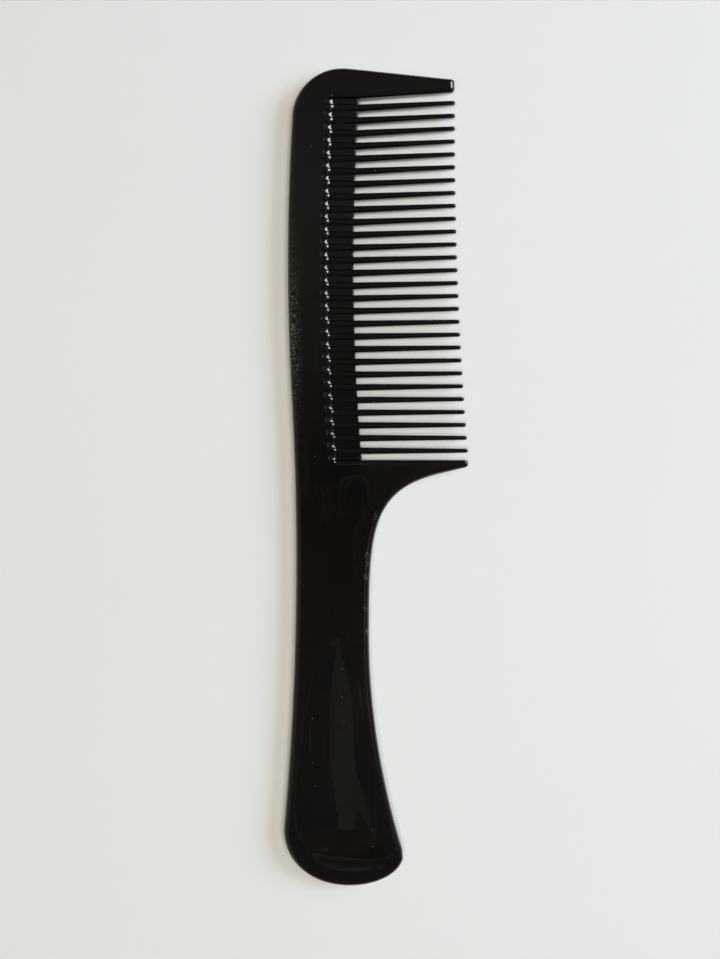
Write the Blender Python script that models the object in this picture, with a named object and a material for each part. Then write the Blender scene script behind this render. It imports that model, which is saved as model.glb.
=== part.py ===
"""Wide tooth comb with a handle: one glossy black moulding, modelled as the members it is made of.

The comb lies flat. +X is the way the teeth point, +Y runs from the handle to the tip and +Z is up.
Every size is in metres. While the shapes are drawn, the origin is the inner root corner of the heel
guard, where the row of teeth starts beside the handle, at half the comb's thickness. At the end
everything hangs from one empty, which puts the world origin at the middle of the comb's underside.
"""

import math

import bmesh
import bpy
from mathutils import Vector

# The row of teeth. Places along the row are counted from the heel line, the heel guard's inner edge.
TOOTH_COUNT = 28
TOOTH_PITCH = 0.00336
TOOTH_ROOT_WIDTH = 0.00188
TOOTH_TIP_WIDTH = 0.00112
TOOTH_ROOT_THICKNESS = 0.0042
TOOTH_TIP_THICKNESS = 0.0018
TOOTH_TIP_ROUNDING = 0.00036
HEEL_TOOTH_REACH = 0.0281  # free length of a tooth at the heel line
REACH_LOSS = 0.0028  # how much shorter a tooth is at the tip end of the row
TOOTH_LEAN = math.radians(3.6)  # how far a tooth at the tip end leans away from the handle
ROW_BOW_RADIUS = 0.631  # the roots follow a very shallow arc, hollow on the tooth side
ROW_BOW_SHARE = 0.548  # where the arc is deepest, as a share of the row's length

# The back and its two guard teeth.
THICKNESS = 0.0050
EDGE_RADIUS = 0.0016
BACK_WIDTH = 0.01736  # from the tooth roots to the back edge
TIP_CORNER_RADIUS = 0.01326
TIP_CORNER_INSET = 0.0053  # the corner's centre is this far below the row's tip end
HEEL_LAND = 0.0020  # the back carries on this far past the heel line before the handle takes over
POCKET_LENGTH = 0.0074  # scooped grooves between the tooth roots
WEB_THICKNESS = 0.0024  # what the grooves of both faces leave between them
TIP_GUARD_REACH = 0.0253
TIP_GUARD_OUTER_SLOPE = math.radians(5.1)
TIP_GUARD_INNER_SLOPE = math.radians(4.4)
HEEL_GUARD_REACH = 0.0282
HEEL_GUARD_TIP_WIDTH = 0.0018
HEEL_GUARD_SLOPE = math.radians(13.5)
HEEL_GUARD_STRAIGHT = 0.0073  # the straight end of its lower edge, before the hollow starts
GUARD_TIP_THICKNESS = 0.0020
GUARD_TIP_RADIUS = 0.0009
GUARD_TIP_ROUNDING = 0.0008

# The handle. Depths are counted from the heel line towards the butt.
HANDLE_LENGTH = 0.11255
BACK_HOLLOW_DEPTH = 0.0265  # where the back edge is most hollow
BACK_HOLLOW_RADIUS = 0.78
WAIST_DEPTH = 0.0455  # where the front edge is most hollow
WAIST_WIDTH = 0.0195
FRONT_FLARE_RADIUS = 0.188
HEEL_HOLLOW_RISE = 0.0272  # how strongly the hollow under the heel guard holds the waist's direction
HEEL_HOLLOW_RUN = 0.0187  # and the guard's direction
BUTT_BACK_CURVE = 0.01495  # length of the rounded butt on its back side
BUTT_FRONT_CURVE = 0.00835  # and on its front side
BUTT_FULLNESS = 0.94  # 1 gives an elliptical back corner, and less a fuller one
BUTT_LOW_SHARE = 0.553  # where the butt reaches lowest, as a share of its width from the back
BUTT_CORNER = 0.0011  # cut back of the front corner

# How the moulding is divided: a parting gap between members, and the place of the heel mitre.
PARTING = 0.0003
MITRE_SHARE = 0.52  # how far along the hollow the mitre between guard and handle comes out
MARGIN = 2.5 * EDGE_RADIUS  # cutters and blanks reach this far past the faces they make
FAR = 0.060  # past everything in a cutter's free direction

TOOTH_SEGMENTS = 12
ARC_STEPS = 8
CORNER_STEPS = 3

GAP = TOOTH_PITCH - TOOTH_ROOT_WIDTH
ROW_LENGTH = TOOTH_COUNT * TOOTH_ROOT_WIDTH + (TOOTH_COUNT + 1) * GAP


# ---- Edges of the comb in plan ----


def lerp(a, b, share):
    return a + (b - a) * share


def root_x(y):
    """Where the tooth roots are at this place along the row."""
    deepest = ROW_BOW_SHARE * ROW_LENGTH
    return ((y - deepest) ** 2 - deepest**2) / (2 * ROW_BOW_RADIUS)


def back_joint_y():
    """Where the bowed back and the hollow above the handle have the same direction."""
    bow_pull = ROW_BOW_SHARE * ROW_LENGTH / ROW_BOW_RADIUS
    hollow_pull = BACK_HOLLOW_DEPTH / BACK_HOLLOW_RADIUS
    return (bow_pull - hollow_pull) / (1 / ROW_BOW_RADIUS + 1 / BACK_HOLLOW_RADIUS)


def back_x(y):
    """The back edge: parallel to the roots along the row, then one long hollow down the handle."""
    joint = back_joint_y()
    if y > joint:
        return root_x(y) - BACK_WIDTH
    hollow = (y + BACK_HOLLOW_DEPTH) ** 2 - (joint + BACK_HOLLOW_DEPTH) ** 2
    return root_x(joint) - BACK_WIDTH - hollow / (2 * BACK_HOLLOW_RADIUS)


def front_x(y):
    """The front edge of the handle, from its waist down to the butt."""
    waist = back_x(-WAIST_DEPTH) + WAIST_WIDTH
    return waist + (y + WAIST_DEPTH) ** 2 / (2 * FRONT_FLARE_RADIUS)


def tip_corner_centre():
    y = ROW_LENGTH - TIP_CORNER_INSET
    return Vector((back_x(y) + TIP_CORNER_RADIUS, y))


def tip_edge_y(x):
    """The straight outer edge of the tip guard, tangent to the rounded corner."""
    touch = tip_corner_centre() + TIP_CORNER_RADIUS * Vector(
        (math.sin(TIP_GUARD_OUTER_SLOPE), math.cos(TIP_GUARD_OUTER_SLOPE))
    )
    return touch.y - (x - touch.x) * math.tan(TIP_GUARD_OUTER_SLOPE)


def heel_guard_lower_y(x):
    """The straight lower edge of the heel guard."""
    return -HEEL_GUARD_TIP_WIDTH - (HEEL_GUARD_REACH - x) * math.tan(HEEL_GUARD_SLOPE)


def cubic(start, start_pull, end_pull, end, share):
    rest = 1 - share
    return (
        rest**3 * start
        + 3 * rest**2 * share * start_pull
        + 3 * rest * share**2 * end_pull
        + share**3 * end
    )


def heel_hollow(share):
    """The hollow between the handle's waist, at 0, and the heel guard's straight edge, at 1."""
    waist = Vector((front_x(-WAIST_DEPTH), -WAIST_DEPTH))
    guard_x = HEEL_GUARD_REACH - HEEL_GUARD_STRAIGHT
    guard = Vector((guard_x, heel_guard_lower_y(guard_x)))
    along_guard = Vector((math.cos(HEEL_GUARD_SLOPE), math.sin(HEEL_GUARD_SLOPE)))
    rise = Vector((0, HEEL_HOLLOW_RISE))
    return cubic(waist, waist + rise, guard - HEEL_HOLLOW_RUN * along_guard, guard, share)


def mitre_line(side):
    """Two points on the heel mitre, moved half the parting gap to the guard's side (1) or the handle's (-1)."""
    corner = Vector((0, -HEEL_LAND))
    out = heel_hollow(MITRE_SHARE)
    along = (out - corner).normalized()
    across = Vector((-along.y, along.x))
    offset = side * PARTING / 2 * across
    return corner + offset, out + MARGIN * along + offset


def spaced(start, end, steps):
    return [lerp(start, end, step / steps) for step in range(steps + 1)]


def butt_outline():
    """The rounded end of the handle, from the back edge round to the front edge."""
    back_y = BUTT_BACK_CURVE - HANDLE_LENGTH
    front_y = BUTT_FRONT_CURVE - HANDLE_LENGTH
    low_x = lerp(back_x(back_y), front_x(front_y), BUTT_LOW_SHARE)
    points = []
    for turn in spaced(0, math.pi / 2, 2 * ARC_STEPS):
        x = low_x + (back_x(back_y) - low_x) * math.cos(turn) ** BUTT_FULLNESS
        points.append((x, back_y - BUTT_BACK_CURVE * math.sin(turn) ** BUTT_FULLNESS))
    corner = Vector((front_x(front_y), front_y))
    last_turn = math.acos(BUTT_CORNER / BUTT_FRONT_CURVE)
    for turn in spaced(0, last_turn, ARC_STEPS)[1:]:
        x = low_x + (corner.x - low_x) * math.sin(turn)
        points.append((x, front_y - BUTT_FRONT_CURVE * math.cos(turn)))
    points.append((front_x(front_y + BUTT_CORNER), front_y + BUTT_CORNER))
    return points


def body_outline():
    """The back and the handle in one, with room to spare where the members are cut from it."""
    corner = tip_corner_centre()
    start_x = root_x(ROW_LENGTH) + MARGIN
    points = [(start_x, tip_edge_y(start_x))]
    for turn in spaced(math.pi / 2 - TIP_GUARD_OUTER_SLOPE, math.pi, ARC_STEPS):
        points.append(tuple(corner + TIP_CORNER_RADIUS * Vector((math.cos(turn), math.sin(turn)))))
    for y in spaced(corner.y, back_joint_y(), ARC_STEPS)[1:]:
        points.append((back_x(y), y))
    for y in spaced(back_joint_y(), BUTT_BACK_CURVE - HANDLE_LENGTH, ARC_STEPS)[1:-1]:
        points.append((back_x(y), y))
    points += butt_outline()
    butt_front_y = BUTT_FRONT_CURVE + BUTT_CORNER - HANDLE_LENGTH
    for y in spaced(butt_front_y, -WAIST_DEPTH, ARC_STEPS)[1:]:
        points.append((front_x(y), y))
    past_mitre = (1 + MITRE_SHARE) / 2
    for share in spaced(0, past_mitre, 2 * ARC_STEPS)[1:]:
        points.append(tuple(heel_hollow(share)))
    points.append((MARGIN, MARGIN))
    return points


def back_region():
    """Plan of the back: behind the tooth roots and above the heel."""
    low_y = PARTING / 2 - HEEL_LAND
    roots = [(root_x(y), y) for y in spaced(0, ROW_LENGTH, TOOTH_COUNT)]
    top_y = ROW_LENGTH + FAR
    return [(-FAR, low_y), (0, low_y)] + roots + [(root_x(ROW_LENGTH), top_y), (-FAR, top_y)]


def handle_region():
    """Plan of the handle: below the heel land and behind the mitre."""
    top_y = -PARTING / 2 - HEEL_LAND
    near, out = mitre_line(-1)
    start = lerp(near, out, (top_y - near.y) / (out.y - near.y))
    low_y = -HANDLE_LENGTH - FAR
    return [(-FAR, top_y), (-FAR, low_y), (FAR, low_y), (FAR, out.y), tuple(out), tuple(start)]


def heel_guard_region():
    """Plan of the heel guard: past the roots and in front of the mitre."""
    near, out = mitre_line(1)
    start = lerp(near, out, (PARTING - near.x) / (out.x - near.x))
    return [(PARTING, MARGIN), tuple(start), tuple(out), (FAR, out.y), (FAR, MARGIN)]


def pocket_outlines():
    """Plan of the grooves between the tooth roots, open at the roots and round at the other end."""
    outlines = []
    for number in range(TOOTH_COUNT + 1):
        middle = GAP / 2 + number * TOOTH_PITCH
        mouth_x = root_x(middle) + MARGIN
        end_x = root_x(middle) - POCKET_LENGTH + GAP / 2
        outline = [(mouth_x, middle + GAP / 2)]
        for turn in spaced(math.pi / 2, 3 * math.pi / 2, CORNER_STEPS + 1):
            outline.append((end_x + GAP / 2 * math.cos(turn), middle + GAP / 2 * math.sin(turn)))
        outline.append((mouth_x, middle - GAP / 2))
        outlines.append(outline)
    return outlines


# ---- Ways of making a solid ----


def plastic(name, color, roughness):
    """Glossy moulded plastic."""
    material = bpy.data.materials.new(name)
    material.use_nodes = True
    shader = material.node_tree.nodes["Principled BSDF"]
    shader.inputs["Base Color"].default_value = (*color, 1)
    shader.inputs["Roughness"].default_value = roughness
    shader.inputs["Metallic"].default_value = 0.0
    return material


def place(name, mesh, collection, material=None):
    item = bpy.data.objects.new(name, mesh)
    collection.objects.link(item)
    if material:
        mesh.materials.append(material)
        mesh.shade_smooth()
        mesh.set_sharp_from_angle(angle=math.radians(40))
    else:
        item.hide_render = True
        item.display_type = "WIRE"
    return item


def slab_mesh(name, outlines, low, high):
    """Flat outlines given a thickness from low to high."""
    curve = bpy.data.curves.new(name, "CURVE")
    curve.dimensions = "2D"
    curve.fill_mode = "BOTH"
    curve.extrude = (high - low) / 2
    for outline in outlines:
        spline = curve.splines.new("POLY")
        spline.points.add(len(outline) - 1)
        spline.use_cyclic_u = True
        for point, (x, y) in zip(spline.points, outline):
            point.co = (x, y, 0, 1)
    drawn = bpy.data.objects.new(name, curve)
    bpy.context.scene.collection.objects.link(drawn)
    bpy.context.view_layer.update()
    graph = bpy.context.evaluated_depsgraph_get()
    mesh = bpy.data.meshes.new_from_object(drawn.evaluated_get(graph))
    mesh.name = name
    bpy.data.objects.remove(drawn)
    shape = bmesh.new()
    shape.from_mesh(mesh)
    bmesh.ops.remove_doubles(shape, verts=shape.verts, dist=0.00001)
    bmesh.ops.translate(shape, verts=shape.verts, vec=(0, 0, (low + high) / 2))
    bmesh.ops.recalc_face_normals(shape, faces=shape.faces)
    shape.to_mesh(mesh)
    shape.free()
    return mesh


def round_rims(mesh, radius):
    """Rounds the upper and lower rims of a slab."""
    shape = bmesh.new()
    shape.from_mesh(mesh)
    caps = {face for face in shape.faces if abs(face.normal.z) > 0.99}
    inside = [edge for edge in shape.edges if caps.issuperset(edge.link_faces)]
    bmesh.ops.dissolve_edges(shape, edges=inside, use_verts=False)
    rims = [
        edge for edge in shape.edges if sum(abs(face.normal.z) > 0.99 for face in edge.link_faces) == 1
    ]
    bmesh.ops.bevel(
        shape, geom=rims, offset=radius, segments=CORNER_STEPS, profile=0.5, affect="EDGES"
    )
    shape.to_mesh(mesh)
    shape.free()


def section(inner, outer, thickness, inner_radius, outer_radius):
    """A rounded rectangle standing on the plan line from inner to outer."""
    width = (outer - inner).length
    along = (outer - inner).normalized()
    ring = []
    corners = ((outer_radius, 1, 1), (inner_radius, 0, 1), (inner_radius, 0, -1), (outer_radius, 1, -1))
    for number, (radius, side, up) in enumerate(corners):
        radius = min(radius, 0.45 * width, 0.45 * thickness)
        reach = width - radius if side else radius
        for turn in spaced(0, math.pi / 2, CORNER_STEPS):
            angle = turn + number * math.pi / 2
            flat = inner + along * (reach + radius * math.cos(angle))
            height = up * (thickness / 2 - radius) + radius * math.sin(angle)
            ring.append((flat.x, flat.y, height))
    return ring


def loft_mesh(name, rings):
    """A skin over rings of equally many points, closed by a flat cap at each end."""
    shape = bmesh.new()
    rows = [[shape.verts.new(point) for point in ring] for ring in rings]
    for row, following in zip(rows, rows[1:]):
        for side in range(len(row)):
            before = side - 1
            shape.faces.new((row[before], row[side], following[side], following[before]))
    shape.faces.new(rows[0])
    shape.faces.new(rows[-1])
    bmesh.ops.recalc_face_normals(shape, faces=shape.faces)
    mesh = bpy.data.meshes.new(name)
    shape.to_mesh(mesh)
    shape.free()
    return mesh


def cut(item, operation, cutter):
    boolean = item.modifiers.new(cutter.name, "BOOLEAN")
    boolean.operation = operation
    boolean.solver = "EXACT"
    boolean.object = cutter


# ---- The members ----


def make_back_and_handle(parts, cutters):
    body = slab_mesh("body_blank", [body_outline()], -THICKNESS / 2, THICKNESS / 2)
    round_rims(body, EDGE_RADIUS)
    regions = {"back_spine": back_region(), "handle": handle_region()}
    finishes = {
        "back_spine": plastic("spine_plastic", (0.011, 0.011, 0.009), 0.14),
        "handle": plastic("handle_plastic", (0.012, 0.009, 0.007), 0.12),
    }
    for name, region in regions.items():
        item = place(name, body.copy(), parts, finishes[name])
        mesh = slab_mesh(name + "_region", [region], -THICKNESS, THICKNESS)
        cut(item, "INTERSECT", place(name + "_region", mesh, cutters))
    bpy.data.meshes.remove(body)
    spine = parts.objects["back_spine"]
    floor = WEB_THICKNESS / 2
    for name, low, high in (("upper_pockets", floor, THICKNESS), ("lower_pockets", -THICKNESS, -floor)):
        cut(spine, "DIFFERENCE", place(name, slab_mesh(name, pocket_outlines(), low, high), cutters))


def guard_rings(stations, tip_x):
    """Sections along a guard: (inner y, outer y) at each x, tapering to its rounded tip."""
    rings = []
    for x, inner_y, outer_y in stations:
        share = max(0.0, x / tip_x)
        thickness = lerp(THICKNESS, GUARD_TIP_THICKNESS, share)
        radius = lerp(EDGE_RADIUS, GUARD_TIP_RADIUS, share)
        rings.append(section(Vector((x, inner_y)), Vector((x, outer_y)), thickness, radius, radius))
    x, inner_y, outer_y = stations[-1]
    round_in = math.copysign(GUARD_TIP_ROUNDING / 2, outer_y - inner_y)
    tip = (Vector((tip_x, inner_y + round_in)), Vector((tip_x, outer_y - round_in)))
    rings.append(section(*tip, GUARD_TIP_THICKNESS - GUARD_TIP_ROUNDING, GUARD_TIP_RADIUS, GUARD_TIP_RADIUS))
    return rings


def make_tip_guard(parts):
    start_x = root_x(ROW_LENGTH) + PARTING
    tip_x = root_x(ROW_LENGTH) + TIP_GUARD_REACH
    stations = []
    for x in spaced(start_x, tip_x - GUARD_TIP_ROUNDING, ARC_STEPS // 2):
        inner_y = ROW_LENGTH + (x - root_x(ROW_LENGTH)) * math.tan(TIP_GUARD_INNER_SLOPE)
        stations.append((x, inner_y, tip_edge_y(x)))
    mesh = loft_mesh("tip_guard_tooth", guard_rings(stations, tip_x))
    place("tip_guard_tooth", mesh, parts, plastic("tip_guard_plastic", (0.012, 0.012, 0.011), 0.14))


def make_heel_guard(parts, cutters):
    """Its lower edge runs into the hollow of the handle, and a mitre cuts it off there."""
    mitre_x = heel_hollow(MITRE_SHARE).x
    direction = heel_hollow(MITRE_SHARE + 0.01) - heel_hollow(MITRE_SHARE)
    low_y = heel_hollow(MITRE_SHARE).y - mitre_x * direction.y / direction.x
    stations = [(0.0, 0.0, low_y)]
    for share in spaced(MITRE_SHARE, 1, ARC_STEPS):
        stations.append((heel_hollow(share).x, 0.0, heel_hollow(share).y))
    last_x = HEEL_GUARD_REACH - GUARD_TIP_ROUNDING
    stations.append((last_x, 0.0, heel_guard_lower_y(last_x)))
    mesh = loft_mesh("heel_guard_tooth", guard_rings(stations, HEEL_GUARD_REACH))
    finish = plastic("heel_guard_plastic", (0.012, 0.011, 0.009), 0.14)
    guard = place("heel_guard_tooth", mesh, parts, finish)
    region = slab_mesh("heel_guard_region", [heel_guard_region()], -THICKNESS, THICKNESS)
    cut(guard, "INTERSECT", place("heel_guard_region", region, cutters))


def tooth_mesh(name, reach):
    """A slim cone along +Z with a rounded tip, deepened to an oval that is deepest at the root."""
    shape = bmesh.new()
    bmesh.ops.create_cone(
        shape,
        cap_ends=True,
        segments=TOOTH_SEGMENTS,
        radius1=TOOTH_ROOT_WIDTH / 2,
        radius2=TOOTH_TIP_WIDTH / 2,
        depth=reach,
    )
    bmesh.ops.translate(shape, verts=shape.verts, vec=(0, 0, reach / 2))
    tip_rim = [edge for edge in shape.edges if min(vert.co.z for vert in edge.verts) > reach / 2]
    bmesh.ops.bevel(
        shape, geom=tip_rim, offset=TOOTH_TIP_ROUNDING, segments=2, profile=0.5, affect="EDGES"
    )
    root_depth = TOOTH_ROOT_THICKNESS / TOOTH_ROOT_WIDTH
    tip_depth = TOOTH_TIP_THICKNESS / TOOTH_TIP_WIDTH
    for vert in shape.verts:
        vert.co.x *= lerp(root_depth, tip_depth, vert.co.z / reach)
    mesh = bpy.data.meshes.new(name)
    shape.to_mesh(mesh)
    shape.free()
    return mesh


def make_teeth(parts):
    """Tooth 1 is the one beside the tip guard."""
    finish = plastic("tooth_plastic", (0.013, 0.013, 0.012), 0.16)
    for number in range(1, TOOTH_COUNT + 1):
        name = f"tooth_{number:02d}"
        y = ROW_LENGTH - GAP - TOOTH_ROOT_WIDTH / 2 - (number - 1) * TOOTH_PITCH
        share = y / ROW_LENGTH
        reach = HEEL_TOOTH_REACH - REACH_LOSS * share**2
        tooth = place(name, tooth_mesh(name, reach), parts, finish)
        tooth.location = (root_x(y) + PARTING, y, 0)
        tooth.rotation_euler = (0, math.pi / 2, TOOTH_LEAN * share)


def hang_from_base(collections):
    """Parents everything to one empty that puts the middle of the underside at the world's origin."""
    bpy.context.view_layer.update()
    graph = bpy.context.evaluated_depsgraph_get()
    corners = []
    for item in collections[0].objects:
        whole = item.evaluated_get(graph)
        corners += [whole.matrix_world @ vert.co for vert in whole.data.vertices]
    low = [min(corner[axis] for corner in corners) for axis in range(3)]
    high = [max(corner[axis] for corner in corners) for axis in range(3)]
    base = bpy.data.objects.new("comb_base", None)
    bpy.context.scene.collection.objects.link(base)
    base.location = (-(low[0] + high[0]) / 2, -(low[1] + high[1]) / 2, -low[2])
    for collection in collections:
        for item in collection.objects:
            item.parent = base


def main():
    for item in list(bpy.data.objects):
        bpy.data.objects.remove(item)
    parts = bpy.data.collections.new("wide_tooth_comb")
    cutters = bpy.data.collections.new("cutters")
    cutters.hide_render = True
    bpy.context.scene.collection.children.link(parts)
    bpy.context.scene.collection.children.link(cutters)
    make_back_and_handle(parts, cutters)
    make_tip_guard(parts)
    make_heel_guard(parts, cutters)
    make_teeth(parts)
    hang_from_base((parts, cutters))


main()
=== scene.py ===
"""Looks of the wide tooth comb: one glossy black injection moulding lying on a pale studio floor.

The moulding's two faces are one height over its plan, so the back, the handle and the two guard
teeth are cut from one continuous skin and meet without a visible joint. The teeth are separate
skins that grow out of the ribs of the back. Shapes are drawn in the comb's own plan: the origin is
the inner root corner of the heel guard, +X is the way the teeth point and +Y runs to the tip.
"""

import math

import bpy
import numpy as np
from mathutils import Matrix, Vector
from mathutils.geometry import delaunay_2d_cdt


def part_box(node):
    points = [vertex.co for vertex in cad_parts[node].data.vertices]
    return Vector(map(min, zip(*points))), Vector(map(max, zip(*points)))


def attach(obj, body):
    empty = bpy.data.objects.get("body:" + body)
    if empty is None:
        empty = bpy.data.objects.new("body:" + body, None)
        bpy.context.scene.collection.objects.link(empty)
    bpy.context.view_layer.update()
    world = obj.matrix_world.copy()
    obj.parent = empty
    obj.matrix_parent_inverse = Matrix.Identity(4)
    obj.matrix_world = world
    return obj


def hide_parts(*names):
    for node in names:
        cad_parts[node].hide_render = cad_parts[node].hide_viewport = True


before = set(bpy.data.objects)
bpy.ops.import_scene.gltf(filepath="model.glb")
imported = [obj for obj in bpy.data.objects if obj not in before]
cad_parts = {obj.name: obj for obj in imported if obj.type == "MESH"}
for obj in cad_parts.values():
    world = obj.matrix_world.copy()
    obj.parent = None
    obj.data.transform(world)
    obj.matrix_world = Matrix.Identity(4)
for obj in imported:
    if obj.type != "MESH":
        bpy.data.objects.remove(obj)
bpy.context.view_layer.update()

MM = 0.001

# The row of teeth.
TOOTH_COUNT = 28
TOOTH_PITCH = 3.36 * MM
TOOTH_ROOT_WIDTH = 1.88 * MM
TOOTH_TIP_WIDTH = 1.12 * MM
TOOTH_ROOT_THICKNESS = 4.2 * MM
TOOTH_TIP_THICKNESS = 1.8 * MM
HEEL_TOOTH_REACH = 28.1 * MM
REACH_LOSS = 2.8 * MM
TOOTH_LEAN = math.radians(3.6)
ROW_BOW_RADIUS = 631 * MM
ROW_BOW_SHARE = 0.548
PARTING = 0.3 * MM
GAP = TOOTH_PITCH - TOOTH_ROOT_WIDTH
ROW_LENGTH = TOOTH_COUNT * TOOTH_ROOT_WIDTH + (TOOTH_COUNT + 1) * GAP

# The back and its guard teeth.
THICKNESS = 5.0 * MM
BACK_WIDTH = 17.36 * MM
TIP_CORNER_RADIUS = 13.26 * MM
TIP_CORNER_INSET = 5.3 * MM
HEEL_LAND = 2.0 * MM
TIP_GUARD_REACH = 25.3 * MM
TIP_GUARD_OUTER_SLOPE = math.radians(5.1)
TIP_GUARD_INNER_SLOPE = math.radians(4.4)
HEEL_GUARD_REACH = 28.2 * MM
HEEL_GUARD_TIP_WIDTH = 1.8 * MM
HEEL_GUARD_SLOPE = math.radians(13.5)
HEEL_GUARD_STRAIGHT = 7.3 * MM
GUARD_TIP_THICKNESS = 2.4 * MM
GUARD_TIP_CORNER = 0.8 * MM
HEEL_SLANT_SHARE = 0.98  # the guard's own width by its width along Y, since its lower edge slants
GUARD_LOW_Y = -12 * MM  # the heel guard and its hollow lie above this

# The handle.
HANDLE_LENGTH = 112.55 * MM
BACK_HOLLOW_DEPTH = 26.5 * MM
BACK_HOLLOW_RADIUS = 780 * MM
WAIST_DEPTH = 45.5 * MM
WAIST_WIDTH = 19.5 * MM
FRONT_FLARE_RADIUS = 188 * MM
HEEL_HOLLOW_RISE = 27.2 * MM
HEEL_HOLLOW_RUN = 18.7 * MM
BUTT_BACK_CURVE = 14.95 * MM
BUTT_FRONT_CURVE = 8.35 * MM
BUTT_FULLNESS = 0.94
BUTT_LOW_SHARE = 0.553
BUTT_CORNER = 1.1 * MM
MITRE_SHARE = 0.52

# How the faces run into the edges: a quarter round of this radius above an upright wall.
BACK_ROUND = 1.3 * MM
HANDLE_ROUND = 1.6 * MM
ROUND_CHANGE_Y = -25 * MM  # the round narrows from here, over the run that follows
ROUND_CHANGE_RUN = 40 * MM
EDGE_ROUND_SHARE = 0.95  # of the half thickness, which a round never takes whole
ROUND_TURNS = 9

# The ribbed zone: each tooth runs inboard as a rib, and between the ribs the faces are scooped out.
POCKET_START = -8.7 * MM  # from the tooth roots
RIB_START = -7.3 * MM
POCKET_COVE = 2.3 * MM
RIB_COVE = 1.1 * MM
POCKET_HALF_WIDTH = 0.86 * MM
WEB_HALF_THICKNESS = 1.2 * MM
WEB_ROUND = 0.35 * MM
RIB_TOP = TOOTH_ROOT_THICKNESS / 2
SECTION_POWER = 3.0  # 2 would give a plain ellipse across a tooth
RIB_HALF_WIDTH = TOOTH_ROOT_WIDTH / 2
FILLET = 0.28 * MM  # between ribs and pocket floors

# How finely the shapes are drawn.
REACH_LIMIT = 14 * MM  # distances to an edge are only worked out this far
OUTLINE_STEP = 0.40 * MM
SLOPE_STEP = 0.01 * MM
SEAM_STEP = 0.4 * MM
CREASE_STEP = 0.006 * MM  # the two sides of a sharp crease are this far from it
TIE = 1e-10  # distances this close belong to a corner that two stretches of a line share
ON_LINE = 1e-7  # and a place this close to a line lies on it

# From the comb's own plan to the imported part.
MIDDLE_Z = THICKNESS / 2
SHIFT = np.array(
    (
        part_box("heel_guard_tooth")[1][0] - HEEL_GUARD_REACH,
        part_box("handle")[0][1] + HANDLE_LENGTH,
    )
)


# ---- Plan of the comb ----

CORNER_POINTS = 9
CURVE_POINTS = 60  # of each curve of the outline, before it is divided again into even steps
LONG_POINTS = 240


def root_x(y):
    """Where the tooth roots lie: on a shallow bow that sinks into the back."""
    deepest = ROW_BOW_SHARE * ROW_LENGTH
    return ((y - deepest) ** 2 - deepest**2) / (2 * ROW_BOW_RADIUS)


def back_joint_y():
    """Where the back's bulge beside the teeth runs smoothly into the hollow beside the grip."""
    bow_pull = ROW_BOW_SHARE * ROW_LENGTH / ROW_BOW_RADIUS
    hollow_pull = BACK_HOLLOW_DEPTH / BACK_HOLLOW_RADIUS
    return (bow_pull - hollow_pull) / (1 / ROW_BOW_RADIUS + 1 / BACK_HOLLOW_RADIUS)


def back_x(y):
    joint = back_joint_y()
    if y > joint:
        return root_x(y) - BACK_WIDTH
    hollow = (y + BACK_HOLLOW_DEPTH) ** 2 - (joint + BACK_HOLLOW_DEPTH) ** 2
    return root_x(joint) - BACK_WIDTH - hollow / (2 * BACK_HOLLOW_RADIUS)


def front_x(y):
    """The handle's front edge, which flares from the waist to the butt."""
    waist = back_x(-WAIST_DEPTH) + WAIST_WIDTH
    return waist + (y + WAIST_DEPTH) ** 2 / (2 * FRONT_FLARE_RADIUS)


def tip_corner_centre():
    y = ROW_LENGTH - TIP_CORNER_INSET
    return back_x(y) + TIP_CORNER_RADIUS, y


def tip_edge_y(x):
    centre_x, centre_y = tip_corner_centre()
    touch_x = centre_x + TIP_CORNER_RADIUS * math.sin(TIP_GUARD_OUTER_SLOPE)
    touch_y = centre_y + TIP_CORNER_RADIUS * math.cos(TIP_GUARD_OUTER_SLOPE)
    return touch_y - (x - touch_x) * math.tan(TIP_GUARD_OUTER_SLOPE)


def tip_inner_y(x):
    return ROW_LENGTH + (x - root_x(ROW_LENGTH)) * math.tan(TIP_GUARD_INNER_SLOPE)


def heel_guard_lower_y(x):
    return -HEEL_GUARD_TIP_WIDTH - (HEEL_GUARD_REACH - x) * math.tan(HEEL_GUARD_SLOPE)


def heel_hollow(share):
    """The hollow between the handle's waist, at 0, and the heel guard's straight edge, at 1."""
    waist = np.array((front_x(-WAIST_DEPTH), -WAIST_DEPTH))
    guard_x = HEEL_GUARD_REACH - HEEL_GUARD_STRAIGHT
    guard = np.array((guard_x, heel_guard_lower_y(guard_x)))
    waist_pull = waist + (0, HEEL_HOLLOW_RISE)
    run = HEEL_HOLLOW_RUN * np.array((math.cos(HEEL_GUARD_SLOPE), math.sin(HEEL_GUARD_SLOPE)))
    rest = 1 - share
    return (
        rest**3 * waist
        + 3 * rest**2 * share * waist_pull
        + 3 * rest * share**2 * (guard - run)
        + share**3 * guard
    )


def rounded_corner(before, corner, after, radius):
    """Points that round a corner off between two straight edges."""
    before, corner, after = map(np.array, (before, corner, after))
    to_before = (before - corner) / np.linalg.norm(before - corner)
    to_after = (after - corner) / np.linalg.norm(after - corner)
    half = math.acos(float(np.clip(to_before @ to_after, -1, 1))) / 2
    reach = radius / math.tan(half)
    start, end = corner + reach * to_before, corner + reach * to_after
    middle = (to_before + to_after) / np.linalg.norm(to_before + to_after)
    centre = corner + middle * radius / math.sin(half)
    points = []
    for share in np.linspace(0, 1, CORNER_POINTS):
        way = (1 - share) * (start - centre) + share * (end - centre)
        points.append(tuple(centre + way * radius / np.linalg.norm(way)))
    return points


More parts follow.
